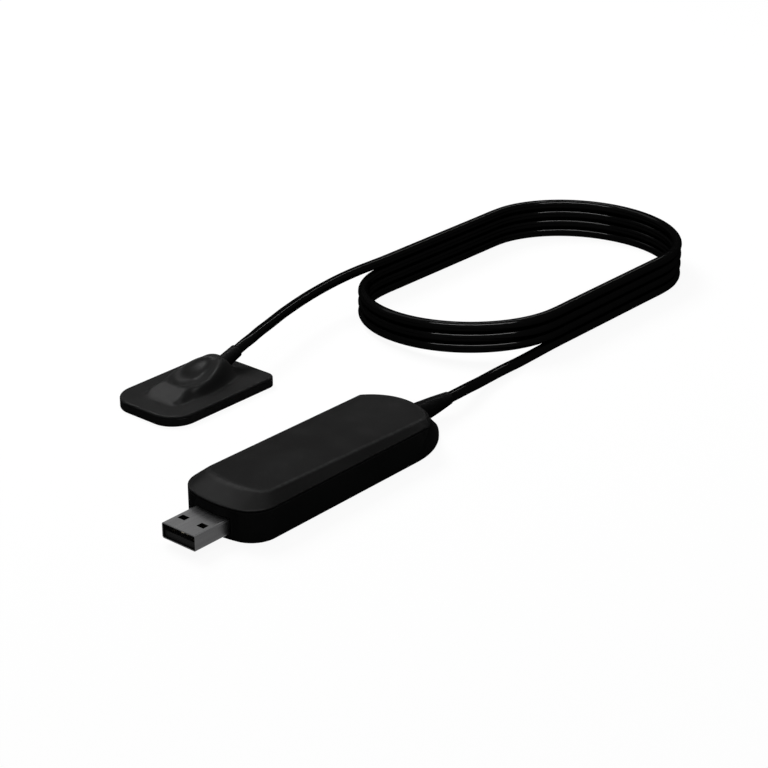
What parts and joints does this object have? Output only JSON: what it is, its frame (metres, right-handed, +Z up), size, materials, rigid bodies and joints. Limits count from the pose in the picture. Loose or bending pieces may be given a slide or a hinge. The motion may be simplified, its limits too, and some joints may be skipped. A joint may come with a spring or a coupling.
{
  "type": "usb x-ray sensor set",
  "caption": "USB interface box with a fixed plug, joined by a coiled cable to a flat intraoral X-ray sensor with a finger scoop on its back.",
  "frame": {"origin": "on the table, under the middle of the interface box", "axes": "+X right across the box, +Y from the plug to the cable, +Z up"},
  "size_m": [0.0921, 0.2594, 0.0135],
  "materials": {
    "box_plastic": "satin",
    "sensor_plastic": "satin",
    "cable_jacket": "gloss",
    "boot_rubber": "matte",
    "plug_steel": "satin",
    "black_plastic": "matte",
    "contact_gold": "polished",
    "board": "satin",
    "chip": "matte",
    "can_metal": "satin",
    "ferrite": "matte",
    "parts_mixed": "satin",
    "connector": "matte",
    "wire": "gloss",
    "screw_steel": "satin",
    "crimp_metal": "satin",
    "phosphor": "matte",
    "fibre_glass": "polished",
    "silicon": "polished",
    "lead": "matte",
    "foam": "matte",
    "polyimide": "gloss"
  },
  "bodies": {
    "root": {"box_base": "box_plastic", "box_cover": "box_plastic", "main_board": "board", "usb_plug_shell": "plug_steel", "usb_plug_tongue": "black_plastic", "usb_contacts": "contact_gold", "usb_bridge_chip": "chip", "image_processor": "chip", "memory_chip": "chip", "clock_crystal": "can_metal", "power_inductor": "ferrite", "board_passives": "parts_mixed", "shield_can": "can_metal", "cable_header": "connector", "cable_connector": "connector", "lead_wires": "wire", "board_screws": "screw_steel", "box_strain_relief": "boot_rubber", "box_cable_end": "cable_jacket", "crimp_ring": "crimp_metal", "sensor_front_cover": "sensor_plastic", "sensor_back_shell": "sensor_plastic", "scintillator": "phosphor", "fibre_plate": "fibre_glass", "imager_chip": "silicon", "sensor_board": "board", "lead_shield": "lead", "shock_pad": "foam", "flex_lead": "polyimide", "sensor_boot": "boot_rubber", "sensor_cable_end": "cable_jacket", "anchor_ring": "crimp_metal", "cable_box_stretch": "cable_jacket", "cable_coil": "cable_jacket", "cable_sensor_stretch": "cable_jacket"}
  },
  "joints": []
}
